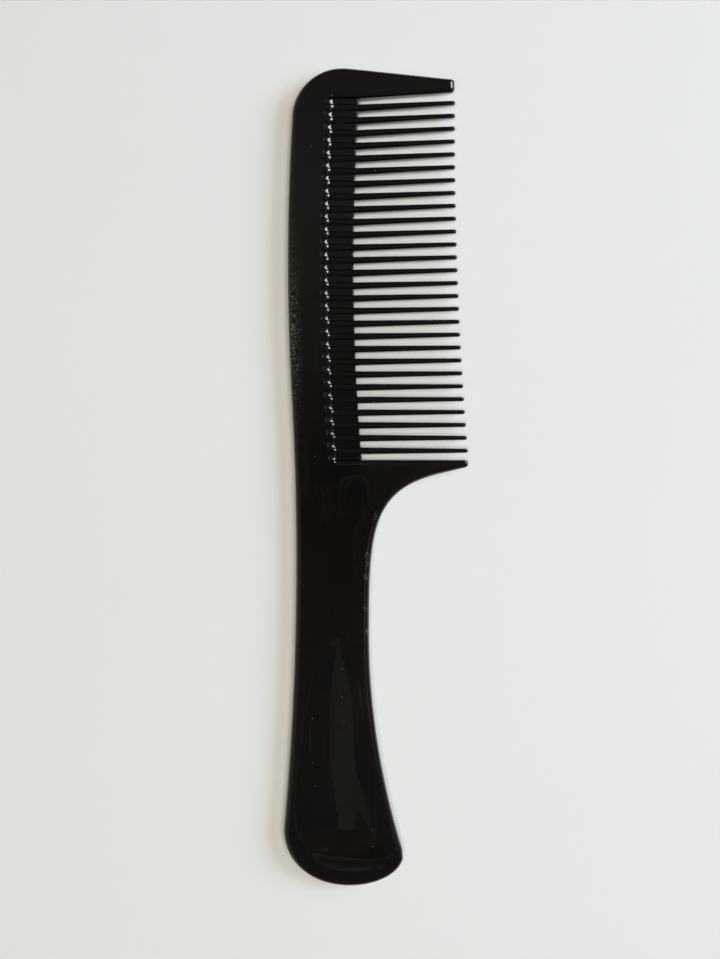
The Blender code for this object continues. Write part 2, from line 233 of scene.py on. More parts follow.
def outer_rim():
    """The free edge of the body, from the tip guard's root round to the heel guard's root."""
    root = root_x(ROW_LENGTH)
    tip_x = root + TIP_GUARD_REACH
    inner, outer = (tip_x, tip_inner_y(tip_x)), (tip_x, tip_edge_y(tip_x))
    centre_x, centre_y = tip_corner_centre()
    points = [(root, ROW_LENGTH)]
    points += rounded_corner(points[0], inner, outer, GUARD_TIP_CORNER)
    points += rounded_corner(inner, outer, (root, tip_edge_y(root)), GUARD_TIP_CORNER)
    for turn in np.linspace(math.pi / 2 - TIP_GUARD_OUTER_SLOPE, math.pi, CURVE_POINTS):
        across, up = TIP_CORNER_RADIUS * math.cos(turn), TIP_CORNER_RADIUS * math.sin(turn)
        points.append((centre_x + across, centre_y + up))
    back_y = BUTT_BACK_CURVE - HANDLE_LENGTH
    front_y = BUTT_FRONT_CURVE - HANDLE_LENGTH
    points += [(back_x(y), y) for y in np.linspace(centre_y, back_y, LONG_POINTS)[1:-1]]
    low_x = back_x(back_y) + (front_x(front_y) - back_x(back_y)) * BUTT_LOW_SHARE
    for turn in np.linspace(0, math.pi / 2, CURVE_POINTS):
        x = low_x + (back_x(back_y) - low_x) * math.cos(turn) ** BUTT_FULLNESS
        points.append((x, back_y - BUTT_BACK_CURVE * math.sin(turn) ** BUTT_FULLNESS))
    last_turn = math.acos(BUTT_CORNER / BUTT_FRONT_CURVE)
    for turn in np.linspace(0, last_turn, CURVE_POINTS // 2)[1:]:
        x = low_x + (front_x(front_y) - low_x) * math.sin(turn)
        points.append((x, front_y - BUTT_FRONT_CURVE * math.cos(turn)))
    grip = np.linspace(front_y + BUTT_CORNER, -WAIST_DEPTH, LONG_POINTS // 2)
    points += [(front_x(y), y) for y in grip]
    points += [tuple(heel_hollow(share)) for share in np.linspace(0, 1, LONG_POINTS // 2)[1:]]
    low_corner = (HEEL_GUARD_REACH, -HEEL_GUARD_TIP_WIDTH)
    high_corner = (HEEL_GUARD_REACH, 0.0)
    points += rounded_corner(points[-1], low_corner, high_corner, GUARD_TIP_CORNER)
    points += rounded_corner(low_corner, high_corner, (0.0, 0.0), GUARD_TIP_CORNER)
    points.append((0.0, 0.0))
    return resampled(points, OUTLINE_STEP)


def resampled(points, step):
    """The same line with its points about one step apart."""
    points = np.array(points)
    lengths = np.linalg.norm(np.diff(points, axis=0), axis=1)
    points = points[np.concatenate(([True], lengths > ON_LINE))]
    along = np.concatenate(([0], np.cumsum(np.linalg.norm(np.diff(points, axis=0), axis=1))))
    wanted = np.linspace(0, along[-1], max(2, round(along[-1] / step)) + 1)
    return np.stack([np.interp(wanted, along, points[:, axis]) for axis in (0, 1)], axis=1)


RIM = outer_rim()


# ---- Heights of the faces ----


def line_distance(x, y, line, limit):
    """Distance from points to a polyline, positive on its left side, and no more than limit."""
    best = np.full(x.shape, limit)
    side = np.ones(x.shape)
    squareness = np.zeros(x.shape)
    for start, end in zip(line, line[1:]):
        low, high = np.minimum(start, end) - limit, np.maximum(start, end) + limit
        near = np.nonzero((y > low[1]) & (y < high[1]) & (x > low[0]) & (x < high[0]))[0]
        if not len(near):
            continue
        run = end - start
        to_x, to_y = x[near] - start[0], y[near] - start[1]
        share = np.clip((to_x * run[0] + to_y * run[1]) / (run @ run), 0, 1)
        gap = np.hypot(to_x - share * run[0], to_y - share * run[1])
        off_line = (run[0] * to_y - run[1] * to_x) / math.hypot(*run)
        tied = np.abs(gap - best[near]) < TIE
        closer = np.where(tied, np.abs(off_line) > squareness[near], gap < best[near])
        chosen = near[closer]
        best[chosen] = gap[closer]
        side[chosen] = np.sign(off_line)[closer]
        squareness[chosen] = np.abs(off_line)[closer]
    return best * np.where(side == 0, 1, side)


def smooth_step(value):
    value = np.clip(value, 0, 1)
    return value * value * (3 - 2 * value)


def smooth_max(a, b, blend):
    share = np.clip(0.5 + 0.5 * (a - b) / blend, 0, 1)
    return b + (a - b) * share + blend * share * (1 - share)


def quarter_round(depth, width):
    """The square of an oval quarter round: 0 at an edge, and 1 from width inwards."""
    rest = 1 - np.minimum(depth / width, 1)
    return 1 - rest * rest


def oval(across, half_width, half_thickness):
    """Half thickness of a tooth or rib at a distance from its middle: a flattened oval."""
    share = np.clip(np.abs(across) / half_width, 0, 1)
    return half_thickness * (1 - share**SECTION_POWER) ** (1 / SECTION_POWER)


def ribbed_height(x, y):
    """Half thickness of the back across the pockets and ribs, before they end inboard."""
    u = x - root_x(y)
    web = WEB_HALF_THICKNESS * np.sqrt(np.clip(quarter_round(-u, WEB_ROUND), 0, 1))
    phase = (y - GAP / 2) % TOOTH_PITCH
    from_rib = np.abs(phase - TOOTH_PITCH / 2)
    in_row = (y > GAP / 2) & (y < ROW_LENGTH - GAP / 2)
    rib = np.where(in_row, oval(from_rib, RIB_HALF_WIDTH, RIB_TOP), 0)
    past_row = np.maximum(y - ROW_LENGTH, -y)
    shoulder = THICKNESS / 2 - BACK_ROUND * (
        1 - np.sqrt(np.clip(quarter_round(past_row, BACK_ROUND), 0, 1))
    )
    raised = np.maximum(rib, np.where(past_row > 0, shoulder, 0))
    return np.where(past_row > BACK_ROUND, THICKNESS / 2, smooth_max(web, raised, FILLET))


def ribbed_share(x, y):
    """0 on the plain face and 1 in the ribbed zone, with a cove between them."""
    start, length = cove(y)
    rest = 1 - np.clip((x - root_x(y) - start) / length, 0, 1)
    return 1 - rest * rest


def cove(y):
    """Where the cove begins, from the tooth roots, and its length, which is more at a pocket."""
    from_gap = np.abs((y - GAP / 2 + TOOTH_PITCH / 2) % TOOTH_PITCH - TOOTH_PITCH / 2)
    in_pocket = oval(from_gap, POCKET_HALF_WIDTH, 1.0)
    start = RIB_START + (POCKET_START - RIB_START) * in_pocket
    return start, RIB_COVE + (POCKET_COVE - RIB_COVE) * in_pocket


def within(x, y, loop):
    """Distance from points inside a closed line to that line, and 0 outside it."""
    return np.abs(line_distance(x, y, loop, REACH_LIMIT)) * inside_loop(x, y, loop[:-1])


def beyond(x, y, loop):
    """Distance from points outside a closed line to that line, and 0 inside it."""
    return np.abs(line_distance(x, y, loop, REACH_LIMIT)) * ~inside_loop(x, y, loop[:-1])


def dish_relief(x, y):
    """How far the thumb dish lies below the handle's faces."""
    to_edge = within(x, y, DISH)
    share = to_edge / np.maximum(to_edge + beyond(x, y, LANCE), TIE)
    run_in = smooth_step((DISH_TOP_Y - y) / DISH_RUN_IN)
    shoulder = smooth_step(to_edge / DISH_SHOULDER)
    shoulder = DISH_SHOULDER_SHARE + (1 - DISH_SHOULDER_SHARE) * shoulder
    return DISH_DEPTH * run_in * share * shoulder


RIDGE_REACH = 4  # widths to each side, where a ridge has run out to nothing


def ridge(x, y, line, height, width):
    """Height of a soft ridge along a line, which falls off to each side as a bell does."""
    away = line_distance(x, y, line, RIDGE_REACH * width)
    return height * np.exp(-((away / width) ** 2) / 2)


def edge_round(x, y):
    """Radius of the quarter round along the edges, no more than a slim guard can carry."""
    back_share = smooth_step((y - ROUND_CHANGE_Y) / ROUND_CHANGE_RUN)
    radius = HANDLE_ROUND + (BACK_ROUND - HANDLE_ROUND) * back_share
    slim = np.where(y > ROW_LENGTH / 2, tip_half_width(x), heel_half_width(x))
    return np.where(on_guard(x, y), np.minimum(radius, slim), radius)


def on_guard(x, y):
    return (x > root_x(np.clip(y, 0, ROW_LENGTH))) & (y > GUARD_LOW_Y)


def skin_height(x, y):
    """The faces' half thickness, which is core plus the square root of bulge, as (bulge, core).

    Bulge falls through 0 at the edge of the plan and is below 0 outside it.
    """
    beside_row = x > root_x(np.clip(y, 0, ROW_LENGTH))
    guard_share = np.where(y > ROW_LENGTH / 2, x / TIP_GUARD_REACH, x / HEEL_GUARD_REACH)
    taper = np.clip(guard_share, 0, 1) * on_guard(x, y)
    half = THICKNESS / 2 + (GUARD_TIP_THICKNESS - THICKNESS) / 2 * taper
    distance = line_distance(x, y, OUTER_EDGE, REACH_LIMIT)
    for line in (TIP_INNER_EDGE, HEEL_INNER_EDGE):
        inner = line_distance(x, y, line, REACH_LIMIT)
        distance = np.where(beside_row, np.minimum(distance, inner), distance)
    radius = np.minimum(edge_round(x, y), EDGE_ROUND_SHARE * half)
    half = half - face_relief(x, y)
    core = half - radius
    bulge = radius * radius * quarter_round(distance, radius)
    past_row = np.maximum(y - ROW_LENGTH, -y)
    near_row = ~beside_row & (past_row < BACK_ROUND)
    share = np.where(near_row, ribbed_share(x, y), 0)
    height = core + np.sqrt(np.clip(bulge, 0, None))
    height = height + share * (ribbed_height(x, y) - height)
    blended_core = core * (1 - share * (1 - smooth_step(past_row / BACK_ROUND)))
    bulge = np.where(share > 0, (height - blended_core) ** 2, bulge)
    return bulge, blended_core


def face_relief(x, y):
    relief = dish_relief(x, y)
    for line, height, width in RIDGES:
        relief = relief - ridge(x, y, line, height, width)
    return np.maximum(relief, -HIGHEST_RIDGE)


def tip_half_width(x):
    start = root_x(ROW_LENGTH)
    near = (tip_edge_y(start) - ROW_LENGTH) / 2
    far = (tip_edge_y(start + TIP_GUARD_REACH) - tip_inner_y(start + TIP_GUARD_REACH)) / 2
    return near + (far - near) * np.clip((x - start) / TIP_GUARD_REACH, 0, 1)


def heel_half_width(x):
    width = HEEL_GUARD_TIP_WIDTH + np.maximum(HEEL_GUARD_REACH - x, 0) * math.tan(HEEL_GUARD_SLOPE)
    return width / 2 * HEEL_SLANT_SHARE


def in_metres(points):
    return np.array(points) * MM


CURVE_STEPS = 6


def traced(*places, closed=False):
    """A Catmull-Rom curve through places of the plan, given in millimetres."""
    points = in_metres(places)
    count = len(points)
    line = []
    for number in range(count if closed else count - 1):
        if closed:
            a, b, c, d = (points[(number + k) % count] for k in (-1, 0, 1, 2))
        else:
            a, b, c, d = (points[min(max(number + k, 0), count - 1)] for k in (-1, 0, 1, 2))
        for share in np.arange(CURVE_STEPS) / CURVE_STEPS:
            line.append(
                0.5
                * (
                    2 * b
                    + (c - a) * share
                    + (2 * a - 5 * b + 4 * c - d) * share**2
                    + (3 * b - a - 3 * c + d) * share**3
                )
            )
    line.append(points[0] if closed else points[-1])
    return np.array(line)


# The handle's shallow relief. The dish for the thumb has a flat floor shaped like a lance, and its
# sides rise from there to the dish's edge.
HIGHEST_RIDGE = 0.06 * MM
DISH_DEPTH = 0.65 * MM
DISH_TOP_Y = -45.0 * MM
DISH_RUN_IN = 17.0 * MM  # over this length the dish comes to its full depth
DISH_SHOULDER = 1.2 * MM
DISH_SHOULDER_SHARE = 0.35
LANCE_CREASE = 0.06 * MM
LANCE = traced(
    (-6.3, -49.1),
    (-7.3, -54.4),
    (-8.0, -59.7),
    (-8.4, -63.7),
    (-8.5, -70.3),
    (-8.5, -76.9),
    (-8.1, -82.7),
    (-7.3, -88.8),
    (-6.5, -93.3),
    (-6.0, -97.1),
    (-4.1, -97.6),
    (-2.0, -97.1),
    (-1.7, -94.7),
    (-1.1, -92.6),
    (-0.2, -93.4),
    (1.1, -95.5),
    (2.5, -97.9),
    (3.3, -100.2),
    (3.7, -99.8),
    (3.5, -96.8),
    (2.5, -92.8),
    (1.1, -89.4),
    (-0.4, -85.4),
    (-1.5, -81.7),
    (-2.0, -76.9),
    (-2.3, -70.3),
    (-2.6, -63.7),
    (-3.1, -59.7),
    (-4.2, -55.1),
    (-5.2, -51.7),
    closed=True,
)
DISH = traced(
    (-5.8, -45.0),
    (-11.5, -52.0),
    (-14.8, -66.0),
    (-16.9, -80.0),
    (-17.8, -92.0),
    (-16.4, -100.0),
    (-12.4, -104.0),
    (-4.4, -105.2),
    (3.4, -105.4),
    (8.6, -103.6),
    (8.2, -96.0),
    (6.4, -88.0),
    (3.4, -76.0),
    (0.8, -64.0),
    (-0.8, -52.0),
    closed=True,
)
RIDGES = (  # (line, height, width): a soft ridge, or a hollow where the height is negative
    # the crease on the front side of the dish
    (traced((3.8, -79.0), (3.9, -95.0), (3.8, -110.0)), 0.03 * MM, 0.12 * MM),
    (traced((3.3, -107.4), (3.3, -110.0)), 0.04 * MM, 0.16 * MM),
    # the land round the butt
    (
        traced((-15.6, -100.0), (-13.0, -105.2), (-8.0, -107.8), (-1.0, -108.6), (6.0, -107.6)),
        0.04 * MM,
        0.50 * MM,
    ),
    # the land that follows the front edge of the grip
    (
        traced(
            (-4.7, -6.0),
            (-1.6, -4.6),
            (1.0, -6.4),
            (1.4, -13.0),
            (-1.0, -19.0),
            (-1.3, -33.0),
            (-1.2, -47.0),
        ),
        0.05 * MM,
        0.45 * MM,
    ),
    (traced((-4.7, -6.0), (-5.2, -10.0), (-4.8, -14.0)), 0.05 * MM, 0.6 * MM),
    # sink marks where the back runs into the grip
    (traced((-9.6, -8.0), (-9.2, -12.0), (-9.8, -15.5)), -0.06 * MM, 0.8 * MM),
    (traced((-11.2, -7.6), (-10.4, -12.0), (-11.0, -16.0)), 0.035 * MM, 0.5 * MM),
    (traced((6.0, -13.0), (9.5, -7.5), (15.0, -4.5)), 0.05 * MM, 0.8 * MM),
    # flow lines beside the dish
    (traced((-12.9, -61.0), (-13.2, -70.0), (-13.0, -77.0)), 0.05 * MM, 0.45 * MM),
    (traced((-9.7, -63.0), (-10.0, -70.0), (-9.4, -77.0)), 0.05 * MM, 0.45 * MM),
    (traced((-9.0, -81.0), (-8.4, -84.0), (-7.6, -88.0)), 0.05 * MM, 0.25 * MM),
    # flow lines along the back
    (traced((-12.1, 42.0), (-12.6, 33.0), (-12.9, 25.0)), -0.03 * MM, 0.80 * MM),
    (traced((-14.2, 4.0), (-13.9, -4.0), (-14.0, -9.0)), 0.04 * MM, 0.45 * MM),
)


def split_rim():
    """The rim as the tip guard's inner edge, the outer edge and the heel guard's inner edge."""
    tip_end = int(np.argmax(RIM[: len(RIM) // 2, 0]))
    heel_end = len(RIM) // 2 + int(np.argmax(RIM[len(RIM) // 2 :, 0]))
    return RIM[: tip_end + 1], RIM[tip_end : heel_end + 1], RIM[heel_end:]


TIP_INNER_EDGE, OUTER_EDGE, HEEL_INNER_EDGE = split_rim()


# ---- The skin ----

# Points over the ribbed zone: how many across a gap, a rib, a cove, a pocket's floor and its web.
GAP_STEPS = 8
RIB_STEPS = 12
COVE_STEPS = 16
FLOOR_STEPS = 6
WEB_STEPS = 7
SIDE_ROWS = np.linspace(0.1, 1.6, 8) * MM  # rows of points past each end of the ribbed zone
COVE_LEAD = 0.25 * MM  # the plain face's last points before a cove

# How far the other points keep off the ribbed zone and the rim.
RIBBED_MARGIN = 1.8 * MM
COVE_MARGIN = 0.45 * MM
ROOT_MARGIN = 0.05 * MM
RING_MARGIN = 0.3 * MM
RING_CLEARANCE = 0.97  # a ring's point closer to the rim than this share of its depth is dropped
LATTICE_CLEARANCE = 1.04  # the lattices begin this far in, in widths of the edge round

DETAIL_STEP = 0.25 * MM
DETAIL_OFFSETS = (-2.2, -1.5, -0.9, -0.4, 0.0, 0.4, 0.9, 1.5, 2.2)  # in widths of a ridge
BACK_LATTICE = 0.6 * MM
HANDLE_LATTICE = 0.36 * MM
LATTICE_ROW_SHARE = 0.87  # rows this near to each other make even triangles
LATTICE_LEFT, LATTICE_RIGHT = -22 * MM, 29 * MM
LATTICE_LOW, LATTICE_CHANGE, LATTICE_HIGH = -113 * MM, -3 * MM, 106 * MM
PLAN_SCALE = 1000.0  # the plan is triangulated in millimetres
PLAN_TOLERANCE = 1e-5
SLIVER_AREA = 1e-14  # square metres; a triangle smaller than this is dropped
NO_LENGTH = 1e-12


def inward(line):
    """Unit normals of a polyline, to its left."""
    run = np.gradient(line, axis=0)
    run /= np.linalg.norm(run, axis=1)[:, None]
    return np.stack((-run[:, 1], run[:, 0]), axis=1)


def seam_lines():
    """Where the skin is divided: the back from the handle, and each guard from what carries it."""
    mitre_end = heel_hollow(MITRE_SHARE)
    top_root = root_x(ROW_LENGTH)
    return [
        resampled([(back_x(-HEEL_LAND), -HEEL_LAND), (0.0, -HEEL_LAND)], SEAM_STEP),
        resampled([(0.0, 0.0), (0.0, -HEEL_LAND)], SEAM_STEP),
        resampled([(0.0, -HEEL_LAND), tuple(mitre_end)], SEAM_STEP),
        resampled([(top_root, ROW_LENGTH), (top_root, tip_edge_y(top_root))], SEAM_STEP),
    ]


def root_line():
    """The tooth roots, from the heel guard to the tip guard, finest along the ribs."""
    places = [0.0]
    for number in range(TOOTH_COUNT + 1):
        start = number * TOOTH_PITCH
        places += list(start + GAP * np.linspace(0, 1, GAP_STEPS + 1)[1:])
        if number < TOOTH_COUNT:
            on_rib = np.linspace(0, 1, RIB_STEPS + 1)[1:]
            places += list(start + GAP + TOOTH_ROOT_WIDTH * on_rib)
    return np.array([(root_x(y), y) for y in places])


def ribbed_points(rows):
    """Points over the ribbed zone, closest together in the coves and at the web's edge."""
    before = np.array((-COVE_LEAD, -CREASE_STEP, CREASE_STEP))
    web = -WEB_ROUND * (1 - np.sin(np.linspace(0, math.pi / 2, WEB_STEPS + 1)))[:-1]
    points = []
    for y in np.concatenate((-SIDE_ROWS, rows, ROW_LENGTH + SIDE_ROWS)):
        start, length = cove(y)
        curve = start + length * np.linspace(0, 1, COVE_STEPS + 1)[1:]
        floor = np.linspace(start + length, -WEB_ROUND, FLOOR_STEPS + 1)[1:-1]
        for u in np.concatenate((start + before, curve, floor, web)):
            points.append((u + root_x(y), y))
    return np.array(points)


def detail_points(wanted):
    """Points along the relief's lines, close enough together to carry its creases."""
    points = []
    for line, _, width in (*RIDGES, (LANCE, 0, LANCE_CREASE)):
        along = resampled(line, max(DETAIL_STEP, width))
        normals = inward(along)
        for offset in DETAIL_OFFSETS:
            points.append(along + normals * offset * width)
    points = np.concatenate(points)
    return points[wanted(points[:, 0], points[:, 1])]


def lattice(low, high, step, wanted):
    """Points of a staggered lattice for which wanted(x, y) holds."""
    xs = np.arange(low[0], high[0], step)
    ys = np.arange(low[1], high[1], step * LATTICE_ROW_SHARE)
    x, y = np.meshgrid(xs, ys)
    x = x + (np.arange(len(ys)) % 2)[:, None] * step / 2
    x, y = x.ravel(), y.ravel()
    keep = wanted(x, y)
    return np.stack((x[keep], y[keep]), axis=1)


def skin_points():
    """Vertices of the plan and the edges that its triangles must keep."""
    roots = root_line()
    loop = np.concatenate((RIM, roots[1:-1]))
    seams = seam_lines()
    points = [loop]
    edges = [(k, (k + 1) % len(loop)) for k in range(len(loop))]
    normals = inward(RIM)
    width = edge_round(RIM[:, 0], RIM[:, 1])
    rings = []
    for turn in np.linspace(0, math.pi / 2, ROUND_TURNS + 1)[1:]:
        depth = width * (1 - math.cos(turn))
        ring = RIM + normals * depth[:, None]
        off = line_distance(ring[:, 0], ring[:, 1], RIM, REACH_LIMIT)
        x, y = ring.T
        by_row = (y > -depth) & (y < ROW_LENGTH + depth)
        by_roots = (x > POCKET_START - RING_MARGIN) & (x < root_x(y) + ROOT_MARGIN)
        rings.append(ring[(off > depth * RING_CLEARANCE) & ~(by_row & by_roots)])
    ring_points = np.concatenate(rings)
    ribbed = ribbed_points(roots[:, 1])

    def in_face(x, y):
        inside = line_distance(x, y, np.concatenate((loop, loop[:1])), REACH_LIMIT)
        u = x - root_x(y)
        by_row = (y > -RIBBED_MARGIN) & (y < ROW_LENGTH + RIBBED_MARGIN)
        in_ribs = by_row & (u > POCKET_START - COVE_MARGIN) & (u < 2 * ROOT_MARGIN)
        return (inside > edge_round(x, y) * LATTICE_CLEARANCE) & inside_loop(x, y, loop) & ~in_ribs

    coarse = lattice(
        (LATTICE_LEFT, LATTICE_CHANGE), (LATTICE_RIGHT, LATTICE_HIGH), BACK_LATTICE, in_face
    )
    fine = lattice(
        (LATTICE_LEFT, LATTICE_LOW), (LATTICE_RIGHT, LATTICE_CHANGE), HANDLE_LATTICE, in_face
    )
    count = len(loop)
    for seam in seams:
        first = count
        points.append(seam)
        edges += [(first + k, first + k + 1) for k in range(len(seam) - 1)]
        count += len(seam)
    points += [ring_points, ribbed, coarse, fine, detail_points(in_face)]
    return np.concatenate(points), edges


def inside_loop(x, y, loop):
    """Which points lie inside a closed line: an odd number of its stretches are to their right."""
    inside = np.zeros(x.shape, bool)
    for (ax, ay), (bx, by) in zip(loop, np.roll(loop, -1, axis=0)):
        if ay == by:
            continue
        low, high = min(ay, by), max(ay, by)
        crossing = (y >= low) & (y < high)
        at = ax + (y[crossing] - ay) / (by - ay) * (bx - ax)
        inside[crossing] ^= x[crossing] < at
    return inside


def skin_plan():
    """Vertices and triangles of the whole plan, and each triangle's middle."""
    points, edges = skin_points()
    in_mm = [Vector(point) for point in points * PLAN_SCALE]
    result = delaunay_2d_cdt(in_mm, edges, [], 1, PLAN_TOLERANCE)
    plan = np.array([tuple(point) for point in result[0]]) / PLAN_SCALE
    faces = np.array(result[2])
    a, b, c = (plan[faces[:, k]] for k in range(3))
    area = (b[:, 0] - a[:, 0]) * (c[:, 1] - a[:, 1]) - (b[:, 1] - a[:, 1]) * (c[:, 0] - a[:, 0])
    faces = np.where((area < 0)[:, None], faces[:, ::-1], faces)
    middle = (a + b + c) / 3
    loop = np.concatenate((RIM, root_line()[1:-1]))
    keep = (np.abs(area) > SLIVER_AREA) & inside_loop(middle[:, 0], middle[:, 1], loop)
    return plan, faces[keep], middle[keep]


def piece_of(x, y):
    """Which piece each place of the plan belongs to."""
    mitre_x, mitre_y = heel_hollow(MITRE_SHARE)
    above_mitre = mitre_x * (y + HEEL_LAND) - (mitre_y + HEEL_LAND) * x > 0
    names = np.where(y > -HEEL_LAND, "back_spine", "handle")
    names = np.where((x > 0) & above_mitre & (y < ROW_LENGTH / 2), "heel_guard_tooth", names)
    return np.where((y > ROW_LENGTH) & (x > root_x(ROW_LENGTH)), "tip_guard_tooth", names)


def skin_normals(x, y):
    """Upward normals of the upper face, and its height over the mid-plane."""
    step = SLOPE_STEP
    bulge, core = skin_height(x, y)
    rise = np.sqrt(np.clip(bulge, 0, None))
    slopes = []
    for to_x, to_y in ((step, 0), (0, step)):
        far_bulge, far_core = skin_height(x + to_x, y + to_y)
        near_bulge, near_core = skin_height(x - to_x, y - to_y)
        slopes.append((far_bulge - near_bulge + 2 * rise * (far_core - near_core)) / (2 * step))
    normals = np.stack((-slopes[0], -slopes[1], 2 * rise), axis=1)
    lengths = np.maximum(np.linalg.norm(normals, axis=1), NO_LENGTH)
    return normals / lengths[:, None], core + rise


def make_piece(name, plan, height, normals, on_rim, wear_and_glint_amount, faces, material):
    """A closed skin: the upper face, its mirror image below, and walls where it was divided."""
    used, local = np.unique(faces, return_inverse=True)
    local = local.reshape(faces.shape)
    places, depth, turned = plan[used], height[used], normals[used]
    count = len(used)
    edge = depth < ON_LINE
    below = np.where(edge, np.arange(count), 0)
    below[~edge] = count + np.arange((~edge).sum())
    upper = np.column_stack((places, MIDDLE_Z + depth))
    lower = np.column_stack((places, MIDDLE_Z - depth))[~edge]
    verts = np.concatenate((upper, lower))
    verts[:, :2] += SHIFT
    lower_faces = below[local][:, ::-1]
    ends = np.concatenate([local[:, [0, 1]], local[:, [1, 2]], local[:, [2, 0]]])
    keys = ends[:, 0] * (count + 1) + ends[:, 1]
    backs = ends[:, 1] * (count + 1) + ends[:, 0]
    free = ends[~np.isin(keys, backs)]  # the sides that only one triangle has
    walls = []
    for start, end in free:
        corners = [int(end), int(start), int(below[start]), int(below[end])]
        corners = [c for k, c in enumerate(corners) if c not in corners[:k]]
        if len(corners) > 2:
            walls.append(corners)
    mesh = bpy.data.meshes.new(name)
    mesh.from_pydata(verts.tolist(), [], local.tolist() + lower_faces.tolist() + walls)
    mesh.update()
    # Walls along the rim take its level normals. A zero normal leaves the other walls flat.
    mirrored = turned * (1, 1, -1)
    loops = np.concatenate((turned[local].reshape(-1, 3), mirrored[local][:, ::-1].reshape(-1, 3)))
    round_wall = np.concatenate((on_rim[used], on_rim[used][~edge]))
    level = np.concatenate((turned, mirrored[~edge])) * round_wall[:, None]
    flat = level[[corner for wall in walls for corner in wall]]
    mesh.shade_smooth()
    mesh.normals_split_custom_set(np.concatenate((loops, flat)).tolist())
    # Per point: wear along the edges, and painted highlights on the grip's front rim, which the
    # material paints light grey.
    wear_and_glint_map = mesh.attributes.new("wear_and_glint_map", "FLOAT", "POINT")
    wear_and_glint_map.data.foreach_set("value", np.concatenate((wear_and_glint_amount[used], wear_and_glint_amount[used][~edge])))
    place(name, mesh, material)


# Painted highlights on the front edge of the grip, in millimetres of the plan: light grey spots put
# where the rim catches the light and glints.
PAINTED_GLINTS = ((3.6, -14.9), (1.6, -25.2), (1.5, -27.8), (1.3, -31.0), (1.3, -39.0), (1.4, -45.1))
PAINTED_GLINT_WIDTH = 0.55 * MM
PAINTED_GLINT_LENGTH = 0.9 * MM
WORN_WIDTH = 4.0 * MM
WORN_EVERYWHERE = 0.04
WORN_MOST = 0.90
WORN_MIDDLE_Y = 34 * MM
WORN_LENGTH = 17 * MM


def wear_and_glint_map_of(x, y):
    """Where the comb is handled and laid down most: its edges, and most of all the back's. Along
    the grip's front edge it adds painted highlights, light grey spots where the rim glints.
    """
    edge = np.abs(line_distance(x, y, RIM, WORN_WIDTH))
    by_edge = 1 - smooth_step(edge / WORN_WIDTH)
    on_back = x < root_x(0) - BACK_WIDTH / 2
    along_back = np.exp(-(((y - WORN_MIDDLE_Y) / WORN_LENGTH) ** 2)) * on_back
    wear_and_glint_level = by_edge * (WORN_EVERYWHERE + WORN_MOST * along_back)
    # The painted highlights: light grey spots where the grip's front rim catches the light.
    for glint_x, glint_y in in_metres(PAINTED_GLINTS):
        across, along = (x - glint_x) / PAINTED_GLINT_WIDTH, (y - glint_y) / PAINTED_GLINT_LENGTH
        wear_and_glint_level = np.maximum(wear_and_glint_level, np.exp(-(across**2) - along**2))
    return wear_and_glint_level


def place(name, mesh, material):
    """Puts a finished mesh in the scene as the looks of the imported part's node of that name."""
    piece = bpy.data.objects.new(name + "_moulding", mesh)
    bpy.context.scene.collection.objects.link(piece)
    mesh.materials.append(material)
    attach(piece, "root")
    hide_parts(name)


# ---- The teeth ----

TOOTH_SIDES = 40
TOOTH_BODY_ROWS = 14
TOOTH_TIP_ROWS = 6
TOOTH_INSET = 0.5 * MM  # how far a tooth starts inside its rib
TOOTH_TIP_ROUND = 0.55 * MM
TOOTH_CREASE = math.radians(50)


def tooth_sections(reach):
    """(place along the tooth, half width, half thickness) from root to tip."""
    rows = []
    body_end = reach - TOOTH_TIP_ROUND
    body = np.linspace(0, body_end, TOOTH_BODY_ROWS)
    for place_along in np.concatenate(([-TOOTH_INSET], body)):
        rows.append((place_along, *tooth_half_sizes(max(place_along, 0) / reach)))
    for turn in np.linspace(0, math.pi / 2, TOOTH_TIP_ROWS + 1)[1:]:
        place_along = body_end + TOOTH_TIP_ROUND * math.sin(turn)
        wide, thick = tooth_half_sizes(place_along / reach)
        shrink = math.cos(turn)
        rows.append((place_along, wide * shrink, thick * shrink))
    return rows


def tooth_half_sizes(share):
    wide = TOOTH_ROOT_WIDTH + (TOOTH_TIP_WIDTH - TOOTH_ROOT_WIDTH) * share
    thick = TOOTH_ROOT_THICKNESS + (TOOTH_TIP_THICKNESS - TOOTH_ROOT_THICKNESS) * share
    return wide / 2, thick / 2


def section_point(turn):
    """A point of the flattened oval, for a half width and half thickness of 1."""
    side, up = math.cos(turn), math.sin(turn)
    power = 2 / SECTION_POWER
    return math.copysign(abs(side) ** power, side), math.copysign(abs(up) ** power, up)


